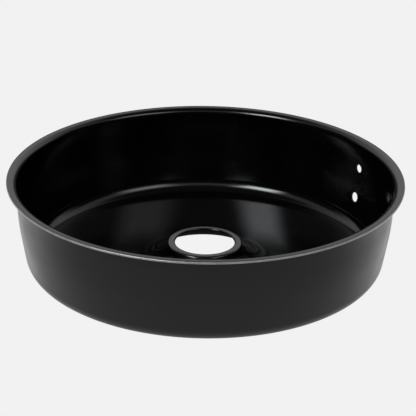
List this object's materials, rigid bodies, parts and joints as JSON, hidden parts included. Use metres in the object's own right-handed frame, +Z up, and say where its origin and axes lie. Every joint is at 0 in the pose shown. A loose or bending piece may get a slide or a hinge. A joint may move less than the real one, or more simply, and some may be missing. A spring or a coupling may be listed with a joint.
{
  "type": "round drain pan",
  "caption": "Wide shallow round pan of coated sheet steel with a hemmed rim, a raised open drain collar in its floor and bare fixing holes in its wall.",
  "frame": {"origin": "centre of the flat underside, on the axis of the drain collar", "axes": "+Z up along the axis of the pan; +X through the two fixing holes in the wall"},
  "size_m": [0.3, 0.3, 0.0707],
  "materials": {
    "black_coat": "black baked coat on steel sheet, glossy inside and satin outside"
  },
  "bodies": {
    "root": {"pan_pressing": "black_coat"}
  },
  "joints": []
}
